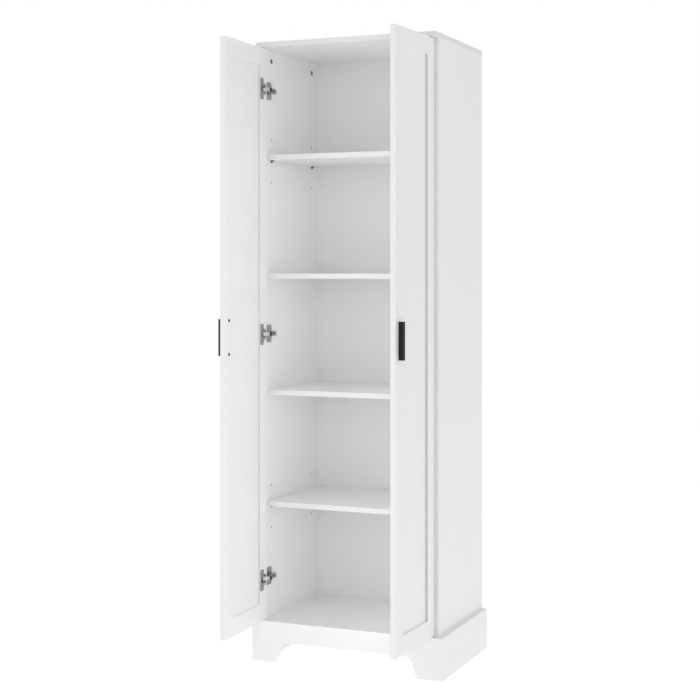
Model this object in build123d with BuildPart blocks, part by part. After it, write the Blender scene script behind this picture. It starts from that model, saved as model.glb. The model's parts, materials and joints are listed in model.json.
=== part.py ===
"""Tall two-door pantry cabinet on a bracket-foot plinth, shown with its doors standing open.

Frame: X to the right, Y towards the wall, Z up. The origin is on the floor, on the centre line of
the back plane, so the whole cabinet stands at Y <= 0. All sizes are in millimetres.
Right-hand pieces are modelled where they stand, and left-hand pieces are their mirror image.
"""

from build123d import *
from math import radians, tan
import os

os.makedirs("parts", exist_ok=True)

# Driving dimensions: the case
cabinet_height = 1840.0
case_width = 568.0          # over the two side panels
case_depth = 393.0          # side panels, front edge to back edge
board = 15.0                # case boards, shelves and door frames
top_overhang = 28.0         # top panel past the side panels' front edges
edge_ease = 0.8             # small round on the boards' visible long edges

# Plinth
plinth_height = 120.0
plinth_side_board = 16.0
plinth_front_board = 18.0
foot_span = 75.0            # each foot's width along the floor
foot_taper = 16.0           # how much a foot widens up to the start of its curve
foot_straight = 38.0        # height of the foot's straight inner edge
foot_curve_reach = 27.0     # how far the curve runs in under the apron
apron_clear = 60.5          # floor to the apron's lower edge
plinth_rail_setback = 0.0   # back rail in from the back plane

# Shelves
shelf_setback = 19.5        # shelf front edge behind the side panels' front edges
shelf_back_gap = 1.0        # shelf back edge to the back panel
loose_shelf_gap = 1.0       # adjustable shelf to each side panel
fixed_upper_drop = 672.0    # upper shelves' tops below the top panel
loose_upper_drop = 316.0
fixed_lower_rise = 684.5    # lower shelves' tops above the bottom panel
loose_lower_rise = 350.0

# Shelf supports and their rows of holes
pin_hole_d = 5.0
pin_hole_depth = 9.0
pin_pitch = 64.0
pin_front_inset = 47.5      # front column behind the side panels' front edges
pin_back_inset = 54.0       # back column in front of the back plane
support_rise = 4.0          # hole centre below the shelf's underside
support_width = 9.0
support_reach = 9.0
support_drop = 3.0

# Back panels in their grooves
back_panel_thickness = 3.0
groove_depth = 5.0
groove_inset = 9.0          # groove in front of the back plane
groove_clearance = 0.1      # each side of the panel
joiner_web = 1.0
joiner_lip = 8.0
joiner_flange = 0.8         # each side of the panels it holds

# Doors
door_gap_side = 0.5         # closed door inside the side panel's outer face
door_gap_centre = 3.0       # between the closed doors
door_gap_top = 3.5
door_gap_bottom = 4.5
door_gap_front = 2.0        # closed door in front of the side panels
open_angle = 88.2           # the doors as they stand here
full_open_angle = 95.0
open_inset = 11.0           # open door's outer face inside the side panel's outer face
open_gap = 6.5              # open door's end in front of the side panel
door_edge_round = 1.5
frame_width = 51.0          # stiles and rails
panel_thickness = 5.5
panel_recess = 3.5          # panel below the frame on the inner face
panel_tongue = 8.0          # panel and rail tongues in the frame groove
panel_clearance = 0.5       # at the groove's bottom
tongue_clearance = 0.05     # each side of a tongue

# Concealed hinges
hinge_end_inset = 120.5     # outer hinges from the door's ends
cup_d = 35.0
cup_depth = 11.5
cup_lap = 9.5               # cup's bore over the side panel's edge, door closed
cup_clearance = 0.1
cup_wall = 0.8
cup_slot = 17.0
cup_notch_depth = 3.0       # open side of the slot, below the inner face
flange_thickness = 1.2
flange_height = 63.0
flange_width = 23.0
flange_offset = 12.7        # flange centre from the cup's, away from the hinge edge
cup_screw_pitch = 45.0
cup_screw_offset = 9.5
link_pin_inset = 0.5        # link pin inside the side panel's inner face, door closed
link_pin_depth = 6.0
arm_pin_reach = 26.0        # arm pin from the centre the door seems to turn about
hinge_pin_r = 1.25
hinge_pin_clearance = 0.05
hinge_pin_seat = 2.5        # link pin's hold in the cup, each side of its slot
link_eye_r = 2.2
link_thickness = 1.6
link_height = 12.0
arm_wall = 1.0
arm_gap = 0.2               # between the link and each cheek of the arm
arm_nose_r = 2.0
arm_nose_root = 8.0         # where the nose joins the arm, behind the side's front edge
arm_front_height = 24.0     # the arm's crest above the side panel, at its front
arm_front = 6.0
arm_body_height = 14.0      # the arm's flat back above the side panel
arm_body_front = 16.0
arm_tail = 53.0
arm_foot = 4.0              # cheeks' lower edge above the side panel
plate_height = 52.0
plate_front = 3.0
plate_depth = 40.0
plate_thickness = 2.5
plate_corner = 6.0
saddle_front = 12.0
saddle_back = 48.0
plate_screw_pitch = 32.0
plate_screw_setback = 28.0
arm_screw_setbacks = (20.0, 34.0)
arm_screw_r = 2.0
arm_screw_head_r = 3.4
arm_screw_head_height = 1.5
arm_screw_cross = 4.8

# Handles
handle_length = 104.0
handle_screw_pitch = 96.0
handle_edge = 25.5          # centre line from the door's free edge
handle_head_width = 14.0
handle_head_thickness = 5.0
handle_stem_width = 6.0
handle_reach = 15.0
handle_round = 0.8
handle_screw_r = 2.0
screw_head_r = 4.3
screw_head_height = 2.2
screw_cross = 5.2
screw_bite = 6.0

# Case fittings
cam_d = 15.0
cam_depth = 12.0
cam_inset = 32.0            # cam centre from the face the bolt stands in
cam_clearance = 0.1
cam_end_gap = 0.5           # drum to the bottom of its bore
cam_slot_length = 9.0
bolt_d = 6.0
bolt_anchor = 10.0
dowel_d = 8.0
dowel_length = 30.0
dowel_step = 32.0           # dowel beside each cam
dowel_end_gap = 1.0
slot_width = 1.6
cross_width = 1.0           # arm of a cross recess in a screw head
nail_r = 0.8
nail_length = 20.0
nail_head_r = 2.0
nail_head_height = 0.6
nails_per_shelf = 5
nail_margin = 60.0
wood_screw_r = 1.75
wood_screw_length = 28.0
wood_screw_head_r = 3.5
wood_screw_head_height = 2.5
wood_screw_proud = 1.25     # head above the metal it holds down
wood_screw_cross = 4.2
cup_screw_length = 13.4
plinth_screws_per_board = 3

# Places worked out from them
side_x = case_width / 2
inner_x = side_x - board
front_y = -case_depth
panel_height = cabinet_height - board
floor_z = plinth_height
fixed_shelf_tops = {
    "fixed_shelf_upper": panel_height - fixed_upper_drop,
    "fixed_shelf_lower": floor_z + fixed_lower_rise,
}
loose_shelf_tops = {
    "adjustable_shelf_upper": panel_height - loose_upper_drop,
    "adjustable_shelf_lower": floor_z + loose_lower_rise,
}
panel_front_y = -(groove_inset + back_panel_thickness)
panel_middle_y = panel_front_y + back_panel_thickness / 2
groove_width = back_panel_thickness + 2 * groove_clearance
shelf_front_y = front_y + shelf_setback
shelf_back_y = panel_front_y - shelf_back_gap
pin_rows_y = (front_y + pin_front_inset, -pin_back_inset)
cam_rows_y = pin_rows_y
dowel_rows_y = (pin_rows_y[0] + dowel_step, pin_rows_y[1] - dowel_step)
door_bottom = plinth_height + door_gap_bottom
door_top = panel_height - door_gap_top
door_height = door_top - door_bottom
door_middle = (door_bottom + door_top) / 2
door_width = (case_width - door_gap_centre) / 2 - door_gap_side
door_lap = board - door_gap_side
cup_edge = door_lap - cup_lap + cup_d / 2
link_pin_edge = door_lap + link_pin_inset
hinge_heights = (door_bottom + hinge_end_inset, door_middle, door_top - hinge_end_inset)
cheek_z = link_height / 2 + arm_gap

# Hinge movement, seen from above for the right-hand door. The link turns on the arm pin and the
# door turns on the link pin, and between closed and open the two turns add up to open_angle.
closed_corner = Vector(side_x - door_gap_side, front_y - door_gap_front - board)
open_corner = Vector(side_x - open_inset, front_y - open_gap)
shift = open_corner - closed_corner
pole = (closed_corner + open_corner) / 2 + Vector(0, 0, 1).cross(shift) / (2 * tan(radians(open_angle / 2)))
link_pin_closed = Vector(closed_corner.X - link_pin_edge, front_y - door_gap_front - link_pin_depth)
spoke = link_pin_closed - pole
link_pin = pole + spoke.rotate(Axis.Z, open_angle)
arm_pin = pole + spoke.rotate(Axis.Z, open_angle / 2).normalized() * arm_pin_reach
link_turn = -(link_pin_closed - arm_pin).get_angle(link_pin - arm_pin)
door_turn = open_angle - link_turn
turn_ratio = link_turn / door_turn
print("arm pin", arm_pin, "link pin", link_pin)
print("link turn", link_turn, "door turn", door_turn, "ratio", turn_ratio)
print("door turn past rest", (full_open_angle - open_angle) / (1 + turn_ratio))

# The open door's own planes. door_plane lies flat: X from the hinge edge to the free edge, Y from
# the inner face to the outer face. inner_face stands on the inner face, with its normal out of it.
door_run = Vector(-1, 0).rotate(Axis.Z, open_angle)
door_in = Vector(0, 0, 1).cross(door_run)
door_origin = open_corner - door_in * board
door_plane = Plane(origin=door_origin, x_dir=door_run, z_dir=(0, 0, 1))
inner_face = Plane(origin=door_origin, x_dir=door_run, z_dir=-door_in)


def keep(name, part):
    """Label a finished piece and write it to its own STEP file."""
    part.label = name
    export_step(part, f"parts/{name}.step")


def keep_pair(name, part):
    """Write a right-hand piece and its mirrored left-hand partner."""
    with BuildPart() as twin:
        mirror(part, about=Plane.YZ)
    keep(f"right_{name}", part)
    keep(f"left_{name}", twin.part)


def face_plane(y):
    """A vertical plane facing the front, with X to the right and Y up."""
    return Plane(origin=(0, y, 0), x_dir=(1, 0, 0), z_dir=(0, -1, 0))


def side_plane(x):
    """A vertical plane facing the right, with X towards the back and Y up."""
    return Plane(origin=(x, 0, 0), x_dir=(0, 1, 0), z_dir=(1, 0, 0))


def cut_crosses(plane, spots, span, width, depth):
    """Cut a cross-shaped driver recess at each spot of a plane, into the part being built."""
    with BuildSketch(plane) as crosses:
        with Locations(*spots):
            Rectangle(span, width)
            Rectangle(width, span)
    extrude(crosses.sketch, amount=depth, mode=Mode.SUBTRACT)


# Where the boards meet the sides: height of each board's underside
joint_undersides = [top - board for top in fixed_shelf_tops.values()] + [floor_z - board]
joint_centres = [z + board / 2 for z in joint_undersides]
support_heights = [top - board - support_rise for top in loose_shelf_tops.values()]

# Side panel, with its hole rows, cam bores, bolt holes and back groove
with BuildPart() as side_panel:
    with BuildSketch(side_plane(inner_x)):
        with Locations((front_y / 2, panel_height / 2)):
            Rectangle(case_depth, panel_height)
    extrude(amount=board)
    fillet(side_panel.edges().filter_by(Axis.Z).group_by(Axis.Y)[0], radius=edge_ease)
    with BuildSketch(side_plane(inner_x)):
        with Locations((panel_middle_y, floor_z - groove_depth)):
            Rectangle(groove_width, panel_height, align=(Align.CENTER, Align.MIN))
    extrude(amount=groove_depth, mode=Mode.SUBTRACT)
    with BuildSketch(side_plane(inner_x)):
        for row_y in pin_rows_y:
            for height in support_heights:
                with Locations(*[(row_y, height + step * pin_pitch) for step in (-1, 0, 1)]):
                    Circle(pin_hole_d / 2)
    extrude(amount=pin_hole_depth, mode=Mode.SUBTRACT)
    with BuildSketch(side_plane(inner_x)):
        with Locations(*[(row_y, panel_height - cam_inset) for row_y in cam_rows_y]):
            Circle(cam_d / 2 + cam_clearance)
    extrude(amount=cam_depth, mode=Mode.SUBTRACT)
    with BuildSketch(side_plane(inner_x)):
        with Locations(*[(row_y, height) for row_y in cam_rows_y for height in joint_centres]):
            Circle(bolt_d / 2)
    extrude(amount=bolt_anchor, mode=Mode.SUBTRACT)
    with BuildSketch(side_plane(inner_x)):
        with Locations(*[(row_y, height) for row_y in dowel_rows_y for height in joint_centres]):
            Circle(dowel_d / 2)
        with Locations((-plinth_rail_setback - board / 2, floor_z / 2 - board / 2)):
            Circle(dowel_d / 2)
    extrude(amount=bolt_anchor, mode=Mode.SUBTRACT)
    with BuildSketch(Plane.XY.offset(panel_height)):
        with Locations(*[(inner_x + board / 2, row_y) for row_y in cam_rows_y]):
            Circle(bolt_d / 2)
    extrude(amount=-cam_inset, mode=Mode.SUBTRACT)
    with BuildSketch(Plane.XY.offset(panel_height)):
        with Locations(*[(inner_x + board / 2, row_y) for row_y in dowel_rows_y]):
            Circle(dowel_d / 2)
    extrude(amount=-dowel_length + bolt_anchor - dowel_end_gap, mode=Mode.SUBTRACT)
keep_pair("side_panel", side_panel.part)

# Top panel: covers the sides and stands forward over the doors
with BuildPart() as top_panel:
    with BuildSketch(Plane.XY.offset(panel_height)):
        with Locations((0, 0)):
            Rectangle(case_width, case_depth + top_overhang, align=(Align.CENTER, Align.MAX))
    extrude(amount=board)
    fillet(top_panel.edges().filter_by(Axis.X).group_by(Axis.Y)[0], radius=edge_ease)
    with BuildSketch(Plane.XY.offset(panel_height)):
        with Locations((0, panel_middle_y)):
            Rectangle(2 * (inner_x + groove_depth), groove_width)
    extrude(amount=groove_depth, mode=Mode.SUBTRACT)
    with BuildSketch(Plane.XY.offset(panel_height)):
        for x in (-inner_x - board / 2, inner_x + board / 2):
            with Locations(*[(x, row_y) for row_y in cam_rows_y]):
                Circle(bolt_d / 2)
            with Locations(*[(x, row_y) for row_y in dowel_rows_y]):
                Circle(dowel_d / 2)
    extrude(amount=bolt_anchor, mode=Mode.SUBTRACT)
keep("top_panel", top_panel.part)


def build_cross_board(underside, front, back):
    """A board between the side panels, with cam bores below and bolt and dowel holes in its ends."""
    with BuildPart() as cross_board:
        with BuildSketch(Plane.XY.offset(underside)):
            with Locations((0, back)):
                Rectangle(2 * inner_x, back - front, align=(Align.CENTER, Align.MAX))
        extrude(amount=board)
        with BuildSketch(Plane.XY.offset(underside)):
            for x in (-inner_x + cam_inset, inner_x - cam_inset):
                with Locations(*[(x, row_y) for row_y in cam_rows_y]):
                    Circle(cam_d / 2 + cam_clearance)
        extrude(amount=cam_depth, mode=Mode.SUBTRACT)
        for end in (-1, 1):
            with BuildSketch(side_plane(end * inner_x)):
                with Locations(*[(row_y, underside + board / 2) for row_y in cam_rows_y]):
                    Circle(bolt_d / 2)
            extrude(amount=-end * cam_inset, mode=Mode.SUBTRACT)
            with BuildSketch(side_plane(end * inner_x)):
                with Locations(*[(row_y, underside + board / 2) for row_y in dowel_rows_y]):
                    Circle(dowel_d / 2)
            extrude(amount=-end * (dowel_length - bolt_anchor + dowel_end_gap), mode=Mode.SUBTRACT)
    return cross_board.part


for shelf_name, shelf_top in fixed_shelf_tops.items():
    keep(shelf_name, build_cross_board(shelf_top - board, shelf_front_y, shelf_back_y))

# Bottom panel, level with the plinth's top edge, with the groove for the back panel
with BuildPart() as bottom_panel:
    add(build_cross_board(floor_z - board, front_y, 0))
    with BuildSketch(Plane.XY.offset(floor_z)):
        with Locations((0, panel_middle_y)):
            Rectangle(2 * inner_x, groove_width)
    extrude(amount=-groove_depth, mode=Mode.SUBTRACT)
keep("bottom_panel", bottom_panel.part)

for shelf_name, shelf_top in loose_shelf_tops.items():
    with BuildPart() as loose_shelf:
        with BuildSketch(Plane.XY.offset(shelf_top - board)):
            with Locations((0, shelf_back_y)):
                Rectangle(
                    2 * (inner_x - loose_shelf_gap),
                    shelf_back_y - shelf_front_y,
                    align=(Align.CENTER, Align.MAX),
                )
        extrude(amount=board)
        fillet(loose_shelf.edges().filter_by(Axis.X).group_by(Axis.Y)[0], radius=edge_ease)
    keep(shelf_name, loose_shelf.part)

# Two-piece back, joined behind the upper fixed shelf by an H-section strip
joint_z = fixed_shelf_tops["fixed_shelf_upper"] - board / 2
panel_edges = {
    "back_panel_lower": (floor_z - groove_depth + panel_clearance, joint_z - joiner_web / 2),
    "back_panel_upper": (joint_z + joiner_web / 2, panel_height + groove_depth - panel_clearance),
}
back_panel_width = 2 * (inner_x + groove_depth - panel_clearance)
for panel_name, (low, high) in panel_edges.items():
    with BuildPart() as back_panel:
        with BuildSketch(face_plane(-groove_inset)):
            with Locations((0, low)):
                Rectangle(back_panel_width, high - low, align=(Align.CENTER, Align.MIN))
        extrude(amount=back_panel_thickness)
    keep(panel_name, back_panel.part)

with BuildPart() as joiner:
    with BuildSketch(side_plane(-inner_x)):
        with Locations((panel_middle_y, joint_z)):
            Rectangle(back_panel_thickness + 2 * joiner_flange, 2 * joiner_lip + joiner_web)
        for side in (-1, 1):
            with Locations((panel_middle_y, joint_z + side * (joiner_web + joiner_lip) / 2)):
                Rectangle(back_panel_thickness, joiner_lip, mode=Mode.SUBTRACT)
    extrude(amount=2 * inner_x)
keep("back_panel_joiner", joiner.part)

# Plinth front board: one bracket foot at each end, and a mitre at each corner
foot_inner = side_x + plinth_side_board - foot_span
foot_shoulder = foot_inner - foot_taper
curve_end = foot_shoulder - foot_curve_reach
curve_rise = apron_clear - foot_straight
with BuildPart() as front_board:
    with BuildSketch(Plane.XY):
        with BuildLine():
            Polyline(
                (-side_x - plinth_side_board, front_y - plinth_front_board),
                (side_x + plinth_side_board, front_y - plinth_front_board),
                (side_x, front_y),
                (-side_x, front_y),
                close=True,
            )
        make_face()
    extrude(amount=plinth_height)
    with BuildSketch(face_plane(front_y)):
        with BuildLine():
            for end in (-1, 1):
                Line((end * foot_inner, 0), (end * foot_shoulder, foot_straight))
                EllipticalCenterArc(
                    (end * curve_end, foot_straight),
                    foot_curve_reach,
                    curve_rise,
                    start_angle=0 if end > 0 else 90,
                    arc_size=90,
                )
            Line((-curve_end, apron_clear), (curve_end, apron_clear))
            Line((-foot_inner, 0), (foot_inner, 0))
        make_face()
    extrude(amount=plinth_front_board, mode=Mode.SUBTRACT)
    fillet(front_board.edges().filter_by(Axis.X).group_by(Axis.Z)[-1].sort_by(Axis.Y)[0], radius=edge_ease)
keep("plinth_front_board", front_board.part)

with BuildPart() as side_board:
    with BuildSketch(Plane.XY):
        with BuildLine():
            Polyline(
                (side_x + plinth_side_board, front_y - plinth_front_board),
                (side_x + plinth_side_board, 0),
                (side_x, 0),
                (side_x, front_y),
                close=True,
            )
        make_face()
    extrude(amount=plinth_height)
    fillet(side_board.edges().filter_by(Axis.Y).group_by(Axis.Z)[-1].sort_by(Axis.X)[-1], radius=edge_ease)
keep_pair("plinth_board", side_board.part)

with BuildPart() as plinth_rail:
    with BuildSketch(face_plane(-plinth_rail_setback)):
        Rectangle(2 * inner_x, floor_z - board, align=(Align.CENTER, Align.MIN))
    extrude(amount=board)
    for end in (-1, 1):
        with BuildSketch(side_plane(end * inner_x)):
            with Locations((-plinth_rail_setback - board / 2, floor_z / 2 - board / 2)):
                Circle(dowel_d / 2)
        extrude(amount=-end * (dowel_length - bolt_anchor + dowel_end_gap), mode=Mode.SUBTRACT)
keep("plinth_back_rail", plinth_rail.part)

# Shelf supports: a pin in the side panel and a block under the shelf
with BuildPart() as supports:
    for end in (-1, 1):
        with BuildSketch(side_plane(end * inner_x)):
            with Locations(*[(row_y, height) for row_y in pin_rows_y for height in support_heights]):
                Circle(pin_hole_d / 2)
        extrude(amount=end * (pin_hole_depth - dowel_end_gap))
        with BuildSketch(side_plane(end * inner_x)):
            for row_y in pin_rows_y:
                with Locations(*[(row_y, height - support_drop) for height in support_heights]):
                    Rectangle(support_width, support_drop + support_rise, align=(Align.CENTER, Align.MIN))
        extrude(amount=-end * support_reach)
keep("shelf_supports", supports.part)

# Cam locks: a slotted drum beside each bolt
cam_height = cam_depth - cam_end_gap
with BuildPart() as cam_locks:
    for end in (-1, 1):
        with BuildSketch(side_plane(end * inner_x)):
            with Locations(*[(row_y, panel_height - cam_inset) for row_y in cam_rows_y]):
                Circle(cam_d / 2)
        extrude(amount=end * cam_height)
        side_cams = [(row_y, panel_height - cam_inset) for row_y in cam_rows_y]
        cut_crosses(side_plane(end * inner_x), side_cams, cam_slot_length, slot_width, end * slot_width)
    for underside in joint_undersides:
        spots = [(end * (inner_x - cam_inset), row_y) for end in (-1, 1) for row_y in cam_rows_y]
        with BuildSketch(Plane.XY.offset(underside)):
            with Locations(*spots):
                Circle(cam_d / 2)
        extrude(amount=cam_height)
        cut_crosses(Plane.XY.offset(underside), spots, cam_slot_length, slot_width, slot_width)
keep("cam_locks", cam_locks.part)

# Cam bolts: from the anchor hole to the drum's rim
bolt_reach = cam_inset - cam_d / 2
with BuildPart() as cam_bolts:
    for end in (-1, 1):
        with BuildSketch(Plane.XY.offset(panel_height + bolt_anchor)):
            with Locations(*[(end * (inner_x + board / 2), row_y) for row_y in cam_rows_y]):
                Circle(bolt_d / 2)
        extrude(amount=-bolt_anchor - bolt_reach)
        with BuildSketch(side_plane(end * (inner_x + bolt_anchor))):
            with Locations(*[(row_y, height) for row_y in cam_rows_y for height in joint_centres]):
                Circle(bolt_d / 2)
        extrude(amount=-end * (bolt_anchor + bolt_reach))
keep("cam_bolts", cam_bolts.part)

# Dowels at every board end, at the sides' top ends, in the plinth's back rail, and behind its
# front board
apron_dowel_z = floor_z - board / 2
side_dowel_zs = (floor_z / 3, floor_z * 2 / 3)
apron_dowel_xs = (-inner_x / 2, 0, inner_x / 2)
front_dowel_spots = [(end * (inner_x + board / 2), z) for end in (-1, 1) for z in side_dowel_zs]
front_dowel_spots += [(x, apron_dowel_z) for x in apron_dowel_xs]
with BuildPart() as dowels:
    for end in (-1, 1):
        with BuildSketch(Plane.XY.offset(panel_height + bolt_anchor)):
            with Locations(*[(end * (inner_x + board / 2), row_y) for row_y in dowel_rows_y]):
                Circle(dowel_d / 2)
        extrude(amount=-dowel_length)
        with BuildSketch(side_plane(end * (inner_x + bolt_anchor))):
            with Locations(*[(row_y, height) for row_y in dowel_rows_y for height in joint_centres]):
                Circle(dowel_d / 2)
            with Locations((-plinth_rail_setback - board / 2, floor_z / 2 - board / 2)):
                Circle(dowel_d / 2)
        extrude(amount=-end * dowel_length)
    with BuildSketch(face_plane(front_y - bolt_anchor)):
        with Locations(*front_dowel_spots):
            Circle(dowel_d / 2)
    extrude(amount=-dowel_length)
keep("dowels", dowels.part)

# Nails through the lower back panel into the lower fixed shelf
nail_step = 2 * (inner_x - nail_margin) / (nails_per_shelf - 1)
nail_z = fixed_shelf_tops["fixed_shelf_lower"] - board / 2
nail_spots = [(-inner_x + nail_margin + i * nail_step, nail_z) for i in range(nails_per_shelf)]
with BuildPart() as nails:
    for radius, length in ((nail_r, nail_length), (nail_head_r, nail_head_height)):
        with BuildSketch(face_plane(-groove_inset + nail_head_height)):
            with Locations(*nail_spots):
                Circle(radius)
        extrude(amount=length)
keep("back_panel_nails", nails.part)

# Screws from inside each side panel into its plinth board
screw_span = case_depth - 2 * nail_margin
screw_step = screw_span / (plinth_screws_per_board - 1)
screw_spots = [(front_y + nail_margin + i * screw_step, floor_z / 2) for i in range(plinth_screws_per_board)]
with BuildPart() as plinth_screws:
    for end in (-1, 1):
        for radius, length in ((wood_screw_r, wood_screw_length + wood_screw_head_height),
                               (wood_screw_head_r, wood_screw_head_height)):
            with BuildSketch(side_plane(end * (inner_x - wood_screw_head_height))):
                with Locations(*screw_spots):
                    Circle(radius)
            extrude(amount=end * length)
keep("plinth_screws", plinth_screws.part)

# Door frame: stiles run full height, and rails tongue into their grooves
groove_low = panel_recess - tongue_clearance
groove_wide = panel_thickness + 2 * tongue_clearance
groove_deep = panel_tongue + panel_clearance
free_stile = door_width - frame_width
with BuildPart() as hinge_stile:
    with BuildSketch(door_plane.offset(door_bottom)):
        Rectangle(frame_width, board, align=(Align.MIN, Align.MIN))
        with Locations((frame_width, groove_low)):
            Rectangle(groove_deep, groove_wide, align=(Align.MAX, Align.MIN), mode=Mode.SUBTRACT)
    extrude(amount=door_height)
    hinge_edges = hinge_stile.edges().filter_by(Axis.Z).sort_by(Axis(door_origin, door_run))[:2]
    fillet(hinge_edges, radius=door_edge_round)
    with BuildSketch(inner_face):
        with Locations(*[(cup_edge, height) for height in hinge_heights]):
            Circle(cup_d / 2)
    extrude(amount=-cup_depth, mode=Mode.SUBTRACT)
keep_pair("hinge_stile", hinge_stile.part)

handle_x = door_width - handle_edge
handle_screw_spots = [(handle_x, door_middle + side * handle_screw_pitch / 2) for side in (-1, 1)]
with BuildPart() as lock_stile:
    with BuildSketch(door_plane.offset(door_bottom)):
        with Locations((free_stile, 0)):
            Rectangle(frame_width, board, align=(Align.MIN, Align.MIN))
        with Locations((free_stile, groove_low)):
            Rectangle(groove_deep, groove_wide, align=(Align.MIN, Align.MIN), mode=Mode.SUBTRACT)
    extrude(amount=door_height)
    free_edges = lock_stile.edges().filter_by(Axis.Z).sort_by(Axis(door_origin, door_run))[-2:]
    fillet(free_edges, radius=edge_ease)
    with BuildSketch(inner_face):
        with Locations(*handle_screw_spots):
            Circle(handle_screw_r)
    extrude(amount=-board, mode=Mode.SUBTRACT)
keep_pair("lock_stile", lock_stile.part)

rail_length = door_width - 2 * frame_width
for rail_name, outer_z, inward in (("bottom_rail", door_bottom, 1), ("top_rail", door_top, -1)):
    with BuildPart() as rail:
        with BuildSketch(door_plane.offset(outer_z)):
            with Locations((frame_width, 0)):
                Rectangle(rail_length, board, align=(Align.MIN, Align.MIN))
        extrude(amount=inward * frame_width)
        with BuildSketch(door_plane.offset(outer_z + inward * frame_width)):
            with Locations((frame_width, groove_low)):
                Rectangle(rail_length, groove_wide, align=(Align.MIN, Align.MIN))
        extrude(amount=-inward * groove_deep, mode=Mode.SUBTRACT)
        with BuildSketch(door_plane.offset(outer_z)):
            for tongue_x, side in ((frame_width, Align.MAX), (free_stile, Align.MIN)):
                with Locations((tongue_x, panel_recess)):
                    Rectangle(panel_tongue, panel_thickness, align=(side, Align.MIN))
        extrude(amount=inward * (frame_width - groove_deep))
    keep_pair(rail_name, rail.part)

with BuildPart() as door_panel:
    with BuildSketch(door_plane.offset(door_bottom + frame_width - panel_tongue)):
        with Locations((frame_width - panel_tongue, panel_recess)):
            Rectangle(rail_length + 2 * panel_tongue, panel_thickness, align=(Align.MIN, Align.MIN))
    extrude(amount=door_height - 2 * (frame_width - panel_tongue))
keep_pair("door_panel", door_panel.part)

# Handle: an extruded T-section bar with a finger groove along each side of its stem
stem_depth = handle_reach - handle_head_thickness
with BuildPart() as handle:
    with BuildSketch(door_plane.offset(door_middle - handle_length / 2)):
        with Locations((handle_x, board)):
            Rectangle(handle_stem_width, stem_depth, align=(Align.CENTER, Align.MIN))
        with Locations((handle_x, board + stem_depth)):
            Rectangle(handle_head_width, handle_head_thickness, align=(Align.CENTER, Align.MIN))
    extrude(amount=handle_length)
    fillet(handle.faces().sort_by(Axis(door_origin, door_in))[-1].edges(), radius=handle_round)
    with BuildSketch(inner_face.offset(-board)):
        with Locations(*handle_screw_spots):
            Circle(handle_screw_r)
    extrude(amount=-screw_bite, mode=Mode.SUBTRACT)
keep_pair("handle", handle.part)

with BuildPart() as handle_screws:
    with BuildSketch(inner_face):
        with Locations(*handle_screw_spots):
            Circle(handle_screw_r)
    extrude(amount=-board - screw_bite)
    with BuildSketch(inner_face):
        with Locations(*handle_screw_spots):
            Circle(screw_head_r)
    extrude(amount=screw_head_height)
    cut_crosses(
        inner_face.offset(screw_head_height),
        handle_screw_spots,
        screw_cross,
        cross_width,
        -screw_head_height / 2,
    )
keep_pair("handle_screws", handle_screws.part)

# Hinge cups: a drum in the stile with a slot for the link, and a flange on the inner face. The
# drum's rim is notched towards the hinge edge, where the link swings out.
cup_r = cup_d / 2 - cup_clearance
cup_spots = [(cup_edge, height) for height in hinge_heights]
flange_spots = [(cup_edge + flange_offset, height) for height in hinge_heights]
cup_screw_spots = [
    (cup_edge + cup_screw_offset, height + side * cup_screw_pitch / 2)
    for height in hinge_heights
    for side in (-1, 1)
]
link_pin_length = cup_slot + 2 * hinge_pin_seat
with BuildPart() as cups:
    with BuildSketch(inner_face):
        with Locations(*cup_spots):
            Circle(cup_r)
    extrude(amount=-cup_depth + cup_clearance)
    with BuildSketch(inner_face):
        with Locations(*cup_spots):
            Circle(cup_r + cup_wall)
        with Locations(*flange_spots):
            RectangleRounded(flange_width, flange_height, flange_width / 4)
    extrude(amount=flange_thickness)
    with BuildSketch(inner_face.offset(flange_thickness)):
        with Locations(*cup_spots):
            Circle(cup_r - cup_wall)
        with Locations(*cup_spots):
            Rectangle(cup_d, cup_slot, mode=Mode.INTERSECT)
    extrude(amount=-flange_thickness - cup_depth + 2 * cup_wall, mode=Mode.SUBTRACT)
    with BuildSketch(inner_face.offset(flange_thickness)):
        with Locations(*cup_spots):
            Rectangle(cup_edge, cup_slot, align=(Align.MAX, Align.CENTER))
    extrude(amount=-flange_thickness - cup_notch_depth, mode=Mode.SUBTRACT)
    for height in hinge_heights:
        with BuildSketch(door_plane.offset(height - link_pin_length / 2)):
            with Locations((link_pin_edge, link_pin_depth)):
                Circle(hinge_pin_r)
        extrude(amount=link_pin_length, mode=Mode.SUBTRACT)
keep_pair("hinge_cups", cups.part)

with BuildPart() as cup_screws:
    cup_screw_top = inner_face.offset(flange_thickness + wood_screw_proud)
    for radius, length in ((wood_screw_r, cup_screw_length), (wood_screw_head_r, wood_screw_proud)):
        with BuildSketch(cup_screw_top):
            with Locations(*cup_screw_spots):
                Circle(radius)
        extrude(amount=-length)
    cut_crosses(cup_screw_top, cup_screw_spots, wood_screw_cross, cross_width, -wood_screw_proud / 2)
keep_pair("hinge_cup_screws", cup_screws.part)

with BuildPart() as cup_pins:
    for height in hinge_heights:
        with BuildSketch(door_plane.offset(height - link_pin_length / 2)):
            with Locations((link_pin_edge, link_pin_depth)):
                Circle(hinge_pin_r)
        extrude(amount=link_pin_length)
keep_pair("hinge_cup_pins", cup_pins.part)

# Hinge links: a flat bar with an eye on each pin
with BuildPart() as links:
    for height in hinge_heights:
        with BuildSketch(Plane.XY.offset(height - link_height / 2)):
            with BuildLine():
                Line(arm_pin, link_pin)
            trace(line_width=link_thickness)
            with Locations(arm_pin, link_pin):
                Circle(link_eye_r)
            with Locations(arm_pin, link_pin):
                Circle(hinge_pin_r + hinge_pin_clearance, mode=Mode.SUBTRACT)
        extrude(amount=link_height)
keep_pair("hinge_links", links.part)

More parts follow.
